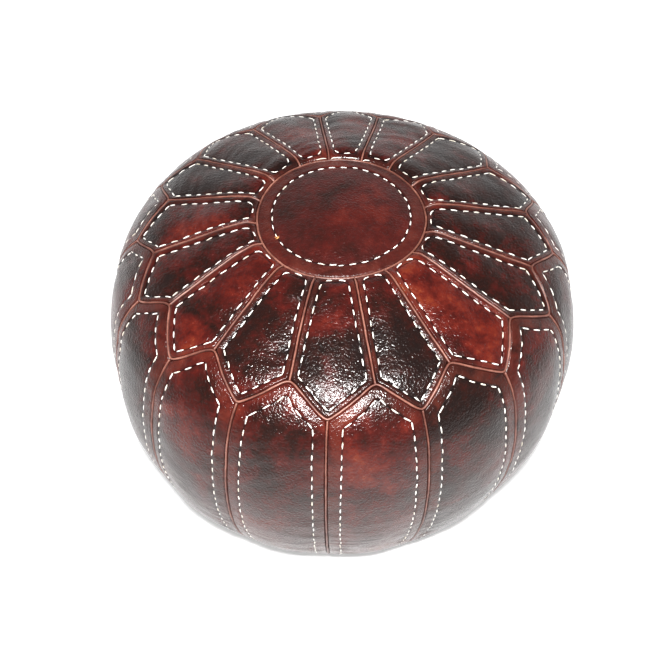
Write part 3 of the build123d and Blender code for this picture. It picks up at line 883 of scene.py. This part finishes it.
def woven_tape():
    """Dark woven zip tape."""
    m = Nodes("zip_tape_weave")
    wave = {"Vector": m.at, "Scale": 620.0, "Distortion": 0.4}
    warp = m.add("TexWave", wave, wave_type="BANDS", bands_direction="X")
    weft = m.add("TexWave", wave, wave_type="BANDS", bands_direction="Y")
    weave = m.math("MAXIMUM", warp.outputs["Fac"], weft.outputs["Fac"])
    dust = m.noise(90, 4, 0.6)
    colour = m.ramp(m.times(weave, m.range(dust, 0.3, 0.7, 0.6, 1.0)),
                    (0.1, (0.010, 0.006, 0.004)), (0.9, (0.055, 0.030, 0.020)))
    rough = m.range(dust, 0.3, 0.7, 0.75, 0.95)
    return m.finish(Base_Color=colour, Roughness=rough, Normal=m.bump(weave, 0.6, 0.0003))


def brass():
    """Tarnished brass with fine brush marks."""
    m = Nodes("zip_brass")
    tarnish = m.noise(170, 5, 0.6, 0.4)
    brushed = m.noise(900, 3, 0.5, 0, m.stretched((0.15, 1.0, 1.0)))
    colour = m.ramp(tarnish, (0.3, (0.34, 0.21, 0.08)), (0.6, (0.66, 0.47, 0.20)),
                    (0.8, (0.78, 0.60, 0.30)))
    return m.finish(Base_Color=colour, Metallic=1.0, Roughness=m.range(tarnish, 0.3, 0.7, 0.46, 0.26),
                    Normal=m.bump(brushed, 0.15, 0.0001))


def wadding():
    """Tufted cotton waste."""
    m = Nodes("cotton_wadding")
    tuft = m.noise(120, 6, 0.7, 1.2)
    colour = m.ramp(tuft, (0.3, (0.50, 0.45, 0.36)), (0.7, (0.80, 0.76, 0.66)))
    return m.finish(Base_Color=colour, Roughness=m.range(tuft, 0.3, 0.7, 0.85, 1.0), Sheen_Weight=0.4,
                    Normal=m.bump(tuft, 0.8, 0.002))


def paint(piece, material):
    """Gives a piece its one material."""
    piece.data.materials.clear()
    piece.data.materials.append(material)
    return piece


LEATHER_LOOK, WELT_LOOK, THREAD_LOOK = leather(), welt_leather(), thread()
TAPE_LOOK, BRASS_LOOK, WADDING_LOOK = woven_tape(), brass(), wadding()

# ---------------------------------------------------------------- the cover's panels

# How red each panel's leather came out of the dye, from nearly black to orange brown.
PETAL_TONES = (0.22, 0.26, 0.58, 0.26, 0.22, 0.20, 0.16, 0.26,
               0.34, 0.22, 0.15, 0.16, 0.30, 0.22, 0.42, 0.28)
SIDE_TONES = (0.38, 0.18, 0.20, 0.18, 0.30, 0.28, 0.34, 0.22,
              0.38, 0.30, 0.24, 0.36, 0.28, 0.22, 0.32, 0.46)
DISC_TONE, BASE_TONE, EVEN_MOTTLE = 0.38, 0.36, 0.6
PETAL_SEED, SIDE_SEED, DISC_SEED = 100, 200, 90

for k in range(PANELS):
    petal_name, side_name = f"petal_{k + 1:02d}", f"side_panel_{k + 1:02d}"
    piece = panel("leather_" + petal_name, float(k), 0, PETAL_SEED + k, PETAL_TONES[k])
    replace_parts(paint(piece, LEATHER_LOOK), petal_name)
    piece = panel("leather_" + side_name, k + 0.5, 1, SIDE_SEED + k, SIDE_TONES[k])
    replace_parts(paint(piece, LEATHER_LOOK), side_name)


def crown_disc():
    """The round piece in the middle of the crown, as a skin closed at its middle and its rim."""
    beside_seam = [-0.04, -0.03, -0.022, -0.015, -0.011]
    t = np.concatenate([np.linspace(-0.985, -0.30, 34), np.linspace(-0.29, -0.05, 26), beside_seam])
    count = 192
    c, t = np.meshgrid(np.arange(count) / count * PANELS, t)
    outer = surface(c, t, DISC_SEED)
    inner = surface(c, t, DISC_SEED, -LEATHER)
    n = t.size
    grid = np.arange(n).reshape(t.shape)
    right = np.roll(grid, -1, axis=1)
    front = ring_quads(grid)
    rim = np.stack([grid[-1], grid[-1] + n, right[-1] + n, right[-1]], -1)
    hubs = np.array([[0, 0, outer[0, :, 2].mean()], [0, 0, inner[0, :, 2].mean()]])
    cap = fan_quads(grid[0], 2 * n)
    under = fan_quads(grid[0] + n, 2 * n + 1)[:, ::-1]
    points = np.vstack([outer.reshape(-1, 3), inner.reshape(-1, 3), hubs])
    faces = np.vstack([front, front[:, ::-1] + n, rim, cap, under])
    nearest = (-t * S_DISC / MM).ravel()
    nearest = np.concatenate([nearest, nearest, [S_DISC / MM, S_DISC / MM]])
    even = np.ones(len(nearest))
    piece = new_mesh("leather_crown_disc", points, faces, "cover", seam=nearest,
                     row=nearest - DISC_INSET / MM, tone=even * DISC_TONE, mottle=even * EVEN_MOTTLE)
    return piece


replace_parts(paint(crown_disc(), LEATHER_LOOK), "crown_disc")

# ---------------------------------------------------------------- welts

def welt_piece(name, parts, stands_for):
    """Some welts as one piece that stands for a CAD node."""
    piece = paint(gather(name, parts), WELT_LOOK)
    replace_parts(piece, stands_for)


wheel = []
for k in range(PANELS):
    seam_line = run(np.full(60, k + 0.5), np.linspace(0.004, 0.992, 60))
    wheel.append(welt_on(*seam_line, False, 300 + 7 * k))
welt_piece("petal_welt_strips", wheel, "petal_welts")

shoulder = welt_on(*ring_of(1.0, 960), True, 420, width=1.05, height=1.0)
welt_piece("shoulder_welt_strip", [shoulder], "shoulder_welt")

sides = []
for k in range(PANELS):
    seam_line = run(np.full(260, float(k)), np.linspace(1.004, 1.994, 260))
    sides.append(welt_on(*seam_line, False, 500 + 7 * k))
welt_piece("side_welt_strips", sides, "side_welts")

round_disc = welt_on(*ring_of(0.0, 480), True, 640, width=1.1, height=0.85)
welt_piece("disc_welt_ring", [round_disc], "disc_welt")

turn = np.arange(480) / 480 * 2 * pi
base_radius = float(R_TABLE[-1])
ring = np.stack([base_radius * np.cos(turn), base_radius * np.sin(turn), turn * 0 + BASE_LIFT * MM], -1)
downward = np.tile([0.0, 0.0, -1.0], (len(ring), 1))
welt_piece("base_welt_ring", [ridge(ring, downward, True, 660, width=0.9, height=0.85)], "base_welt")

# ---------------------------------------------------------------- stitches

def thread_piece(name, rows, look=THREAD_LOOK):
    """Rows of stitches as one piece."""
    return paint(gather(name, rows, key="shade"), look)


petal_rows = [row for k in range(PANELS) for row in panel_stitches(float(k), 0, PETAL_SEED + k)]
side_rows = [row for k in range(PANELS) for row in panel_stitches(k + 0.5, 1, SIDE_SEED + k)]
c = np.linspace(0, PANELS, 700)
disc_row = stitches(c, c * 0 - DISC_INSET / S_DISC, DISC_SEED, length=7.6 * MM, gap=4.6 * MM)
thread_piece("petal_stitches", petal_rows)
thread_piece("side_stitches", side_rows)
c = np.linspace(7.15, 8.9, 90)
t = down_to(c, c * 0 + S_DISC + 2.0 * MM, 0)
holding = stitches(c, t, PETAL_SEED + 7, length=15 * MM, gap=4 * MM, width=1.2 * MM)
thread_piece("disc_stitches", [disc_row, holding])


def loose_end():
    """The strands of a thread end of another colour that the sewer left in the disc's row."""
    strands = []
    for c, way in ((13.50, 0.07), (13.52, -0.05), (13.55, 0.02)):
        reach = np.linspace(0, 1, 12)
        t = (-DISC_INSET + (reach - 0.5) * 5.0 * MM) / S_DISC
        strand = stitches(c + way * reach, t, DISC_SEED, length=4.0 * MM, gap=1.0 * MM, width=0.9 * MM)
        strands.append(strand)
    return strands


def tan_thread():
    """The loose end's thread."""
    m = Nodes("tan_thread")
    dirt = m.noise(500, 4, 0.6)
    colour = m.ramp(dirt, (0.3, (0.42, 0.17, 0.05)), (0.7, (0.75, 0.42, 0.16)))
    rough = m.range(dirt, 0.3, 0.7, 0.6, 0.8)
    return m.finish(Base_Color=colour, Roughness=rough, Normal=m.bump(dirt, 0.5, 0.0003))


thread_piece("loose_thread_end", loose_end(), tan_thread())

# ---------------------------------------------------------------- base, stuffing and zip

def base_half(name, side, seed):
    """Half of the round base, from the middle and the zip's opening out to the base's welt."""
    reach = base_radius - 0.6 * MM
    slot = ZIP_SLOT_LENGTH / 2 - 3 * MM
    beyond = np.array([0.03, 2.5, 5.5, 8.5, 11.0, 13.0, 14.2]) * MM + slot
    beyond = beyond[beyond < reach - 0.4 * MM]
    x = np.concatenate([-beyond[::-1], np.linspace(-slot, slot, 110), beyond])
    start = np.where(np.abs(x) <= slot, ZIP_OPENING / 2, 0.05 * MM)
    end = np.sqrt(reach**2 - x**2)
    end = np.maximum(end, start + 0.3 * MM)
    v = np.linspace(0, 1, 44)
    room = end - start
    y = start + v[:, None] * room
    xx = np.tile(x, (len(v), 1))
    edge = np.minimum(y - start, end - y)
    h = 0.35 * MM * noise(xx / 0.030, y / 0.026, seed) + 0.15 * MM * noise(xx / 0.011, y / 0.004, seed + 1)
    h = h * smooth(edge / 0.010) - 0.25 * MM * np.exp(-(((edge / MM - 4.2) / 1.2) ** 2))
    under = np.stack([xx, side * y, BASE_LIFT * MM - h], -1)
    over = under + np.array([0, 0, LEATHER])
    if side > 0:
        under, over, edge = under[:, ::-1], over[:, ::-1], edge[:, ::-1]
    even = np.ones(edge.shape)
    piece = shell(name, under, over, seam=edge / MM + 1.5, row=even * 20, tone=even * BASE_TONE,
                  mottle=even * EVEN_MOTTLE)
    return paint(piece, LEATHER_LOOK)


for name, side in (("base_back", 1), ("base_front", -1)):
    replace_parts(base_half("leather_" + name, side, 700 + side), name)


def flat_row(points, length, gap, width):
    """A row of stitches on the underside of the base."""
    along = travelled(points)
    count = int(along[-1] / (length + gap))
    middles = (np.arange(count) + 0.5) * along[-1] / count
    up = np.tile([0.0, 0.0, -1.0], (len(points), 1))
    return thread_along(points, up, along, middles, np.full(count, length), width)


level = BASE_LIFT * MM + 0.1 * MM
zip_rows = []
for side in (1, -1):
    x = np.linspace(-118, 118, 300) * MM * side
    for y in (10.8 * MM, 20.0 * MM):
        line = np.stack([x, x * 0 + side * y, x * 0 + level], -1)
        zip_rows.append(flat_row(line, 2.8 * MM, 1.0 * MM, 0.9 * MM))
thread_piece("zip_seam_stitches", zip_rows)
reach = base_radius - 8 * MM
hem = []
for start in (0.0, pi):
    a = np.linspace(start + 0.06, start + pi - 0.06, 400)
    line = np.stack([reach * np.cos(a), reach * np.sin(a), a * 0 + level], -1)
    hem.append(flat_row(line, THREAD_LENGTH, THREAD_GAP, THREAD_WIDTH))
thread_piece("base_stitches", hem)


def wadding_body():
    """The stuffing: a lumpy mass a little inside the cover, hollowed over the zip."""
    count, top_of_floor = 160, 19.5 * MM
    s = np.linspace(4 * MM, S_BASE - 2 * MM, 90)
    theta, s = np.meshgrid(np.arange(count) / count * 2 * pi, s)
    x = theta * radius(s) / MM
    h = -6.0 * MM + 1.2 * MM * noise(x / 30, s / MM / 30, 801) + 0.5 * MM * noise(x / 9, s / MM / 9, 802)
    body = place(theta, s, h)
    body[..., 2] = np.maximum(body[..., 2], 3 * MM)
    below = [body[-1] * [f, f, 0] + [0, 0, top_of_floor] for f in np.linspace(0.9, 0.1, 9)]
    body = np.concatenate([body, np.array(below)])
    n = len(body) * count
    grid = np.arange(n).reshape(len(body), count)
    cap = fan_quads(grid[0], n)
    bottom = fan_quads(grid[-1], n + 1)[:, ::-1]
    hubs = np.array([[0, 0, body[0, :, 2].mean()], [0, 0, top_of_floor]])
    points = np.vstack([body.reshape(-1, 3), hubs])
    return new_mesh("wadding", points, np.vstack([ring_quads(grid), cap, bottom]), "cover")


piece = paint(wadding_body(), WADDING_LOOK)
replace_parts(piece, "stuffing")

for name in ("zip_tape_back", "zip_tape_front"):
    paint(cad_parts[name], TAPE_LOOK)
for name in ("teeth_back", "teeth_front", "top_stops", "bottom_stop", "slider", "pull"):
    paint(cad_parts["zip_" + name], BRASS_LOOK)

# ---------------------------------------------------------------- floor, light and camera

def pale_floor():
    """A nearly white floor that glows, more the further out, with a painted contact shadow where the pouf
    touches it.
    """
    m = Nodes("pale_floor")
    away = m.add("VectorMath", {0: m.at}, operation="LENGTH").outputs["Value"]
    foot = float(R_TABLE[Z_TABLE < 1e-6].max())
    # The floor glows though it is no lamp. Its glow is nothing right by the foot, a painted contact shadow,
    # and grows further out.
    glow = m.range(away, foot + 0.006, foot + 0.026, 0.0, 0.42)
    glow = m.plus(glow, m.range(away, foot + 0.04, 0.85, 0.0, 0.5))
    return m.finish(Base_Color=(0.68, 0.68, 0.68, 1), Roughness=0.9, Emission_Color=(1, 1, 1, 1),
                    Emission_Strength=glow)


mesh = bpy.data.meshes.new("floor")
mesh.from_pydata([(-9, -9, 0), (9, -9, 0), (9, 9, 0), (-9, 9, 0)], [], [(0, 1, 2, 3)])
floor = bpy.data.objects.new("floor", mesh)
bpy.context.scene.collection.objects.link(floor)
floor.data.materials.append(pale_floor())
floor.location.z = -0.3 * MM


def studio_world():
    """Soft light that is bright low down, dark overhead, and dimmer in front than behind."""
    world = bpy.data.worlds.new("studio")
    world.use_nodes = True
    sky = world.node_tree
    direction = sky.nodes.new("ShaderNodeTexCoord")
    split = sky.nodes.new("ShaderNodeSeparateXYZ")
    overhead = sky.nodes.new("ShaderNodeValToRGB")
    bright, dark = overhead.color_ramp.elements
    bright.position, bright.color = 0.25, (1, 1, 1, 1)
    dark.position, dark.color = 0.65, (0.08, 0.08, 0.085, 1)
    strength = sky.nodes.new("ShaderNodeMapRange")
    for key, value in (("From Min", -0.4), ("From Max", 0.35), ("To Min", 0.22), ("To Max", 1.0)):
        strength.inputs[key].default_value = value
    sky.links.new(direction.outputs["Generated"], split.inputs[0])
    sky.links.new(split.outputs["Z"], overhead.inputs[0])
    sky.links.new(split.outputs["Y"], strength.inputs["Value"])
    sky.links.new(overhead.outputs[0], sky.nodes["Background"].inputs[0])
    sky.links.new(strength.outputs[0], sky.nodes["Background"].inputs[1])
    return world


bpy.context.scene.world = studio_world()


def spot(name, location, target, size, power, cone):
    """A spot light aimed at a point."""
    light = bpy.data.lights.new(name, "SPOT")
    light.shadow_soft_size = size
    light.energy = power
    light.spot_size = cone
    light.spot_blend = 0.25
    lamp = bpy.data.objects.new(name, light)
    bpy.context.scene.collection.objects.link(lamp)
    lamp.location = location
    lamp.rotation_euler = (Vector(target) - Vector(location)).to_track_quat("-Z", "Y").to_euler()


CAMERA_TURN, CAMERA_RISE, CAMERA_DISTANCE, CAMERA_ROLL = radians(2.366), radians(51.0), 1.0321, 0.0082
CAMERA_HEIGHT, CAMERA_LENS, CAMERA_SHIFT = 0.16894, 48.8354, (-0.022308, -0.005692)
centre = Vector((0, 0, CAMERA_HEIGHT))
back = Vector((sin(CAMERA_TURN) * cos(CAMERA_RISE), -cos(CAMERA_TURN) * cos(CAMERA_RISE), sin(CAMERA_RISE)))
lens = bpy.data.cameras.new("camera")
lens.lens, lens.sensor_width = CAMERA_LENS, 36
lens.shift_x, lens.shift_y = CAMERA_SHIFT
lens.clip_start = 0.01
camera = bpy.data.objects.new("camera", lens)
bpy.context.scene.collection.objects.link(camera)
camera.rotation_mode = "QUATERNION"
camera.location = centre + back * CAMERA_DISTANCE
roll = Matrix.Rotation(CAMERA_ROLL, 3, "Z").to_quaternion()
camera.rotation_quaternion = (-back).to_track_quat("-Z", "Y") @ roll
bpy.context.scene.camera = camera

spot("flash", camera.location + Vector((0, 0, 0.24)), centre, 0.05, 95, radians(66))

bpy.context.scene.view_settings.view_transform = "Standard"
bpy.context.scene.view_settings.look = "Medium High Contrast"
